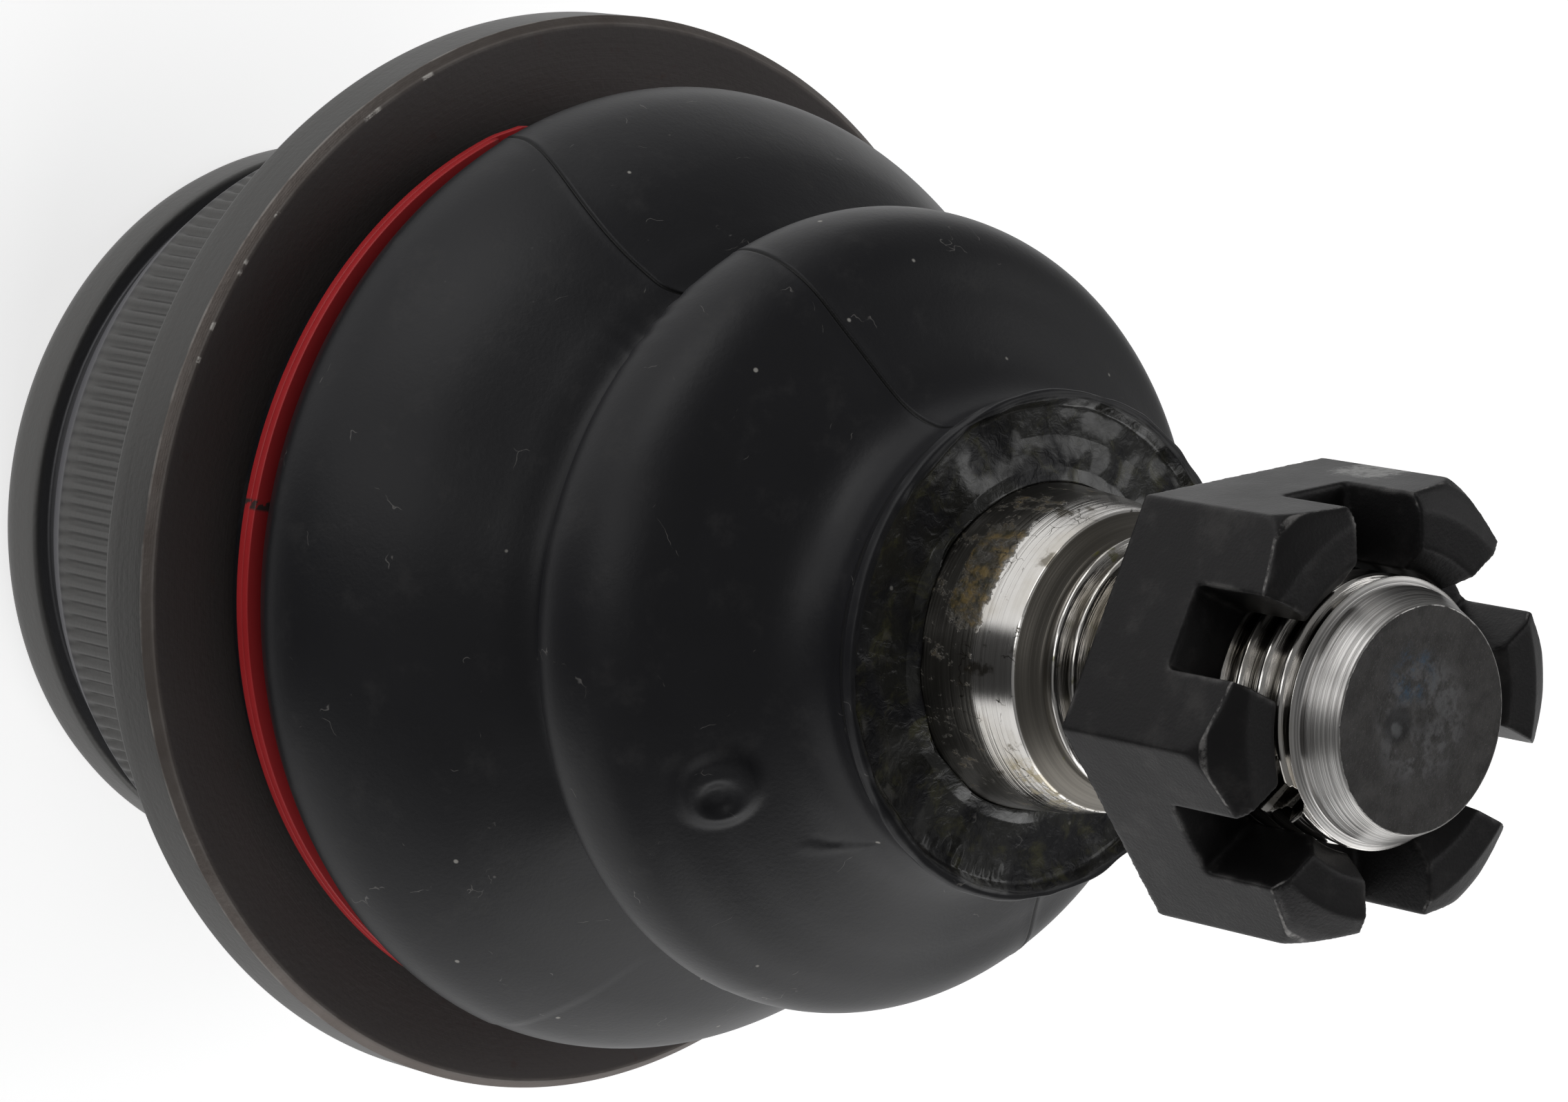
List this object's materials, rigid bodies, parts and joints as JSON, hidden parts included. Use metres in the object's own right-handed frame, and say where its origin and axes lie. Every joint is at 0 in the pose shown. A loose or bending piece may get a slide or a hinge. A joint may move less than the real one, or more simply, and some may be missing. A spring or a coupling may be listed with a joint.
{
  "type": "suspension ball joint",
  "caption": "Press-in flanged suspension ball joint with tapered stud, castle nut, rubber dust boot, red retaining ring and ribbed housing.",
  "frame": {"origin": "middle of the base, on the axis of the stud and the housing; the ball centre is 19.5 mm above it", "axes": "+Z along the stud axis from the base towards the threaded end; +X through a corner of the castle nut at rest; the flange lies parallel to the XY plane, from Z = 25.4 to 29.5 mm"},
  "size_m": [0.0628, 0.0628, 0.096],
  "materials": {
    "housing_steel": "forged steel, dark oiled satin with worn edges",
    "end_cap_steel": "pressed steel, dark satin",
    "spring_steel": "hardened spring steel, satin",
    "bearing_plastic": "moulded acetal, greased",
    "stud_steel": "fine turned and ground, lightly greased",
    "nut_phosphate": "black phosphate, oiled, worn corners",
    "boot_rubber": "smooth moulded chloroprene, satin",
    "ring_red_coat": "red coated spring wire, semi-gloss",
    "collar_steel": "flat wire, satin"
  },
  "bodies": {
    "housing": {"housing": "housing_steel", "end_cap": "end_cap_steel", "upper_bearing": "bearing_plastic", "preload_spring": "spring_steel"},
    "lower_bearing": {"lower_bearing": "bearing_plastic"},
    "boot_base": {"dust_boot": "boot_rubber", "boot_retaining_ring": "ring_red_coat"},
    "boot_collar": {"boot_collar_ring": "collar_steel"},
    "stud": {"ball_stud": "stud_steel"},
    "nut": {"castle_nut": "nut_phosphate"}
  },
  "joints": [
    {"name": "preload_travel", "type": "slide", "parent": "housing", "child": "lower_bearing", "axis": [0, 0, 1], "range_m": [0, 0.0002], "deforming": ["preload_spring"]},
    {"name": "boot_turn", "type": "hinge", "parent": "housing", "child": "boot_base", "pos_m": [0, 0, 0.0195], "axis": [0, 0, 1], "continuous": true},
    {"name": "stud_swing", "type": "hinge", "parent": "boot_base", "child": "boot_collar", "pos_m": [0, 0, 0.0195], "axis": [1, 0, 0], "range_deg": [-25, 25], "deforming": ["dust_boot"]},
    {"name": "stud_spin", "type": "hinge", "parent": "boot_collar", "child": "stud", "pos_m": [0, 0, 0.0195], "axis": [0, 0, 1], "continuous": true},
    {"name": "nut_turn", "type": "hinge", "parent": "stud", "child": "nut", "pos_m": [0, 0, 0.0885], "axis": [0, 0, 1], "continuous": true}
  ]
}
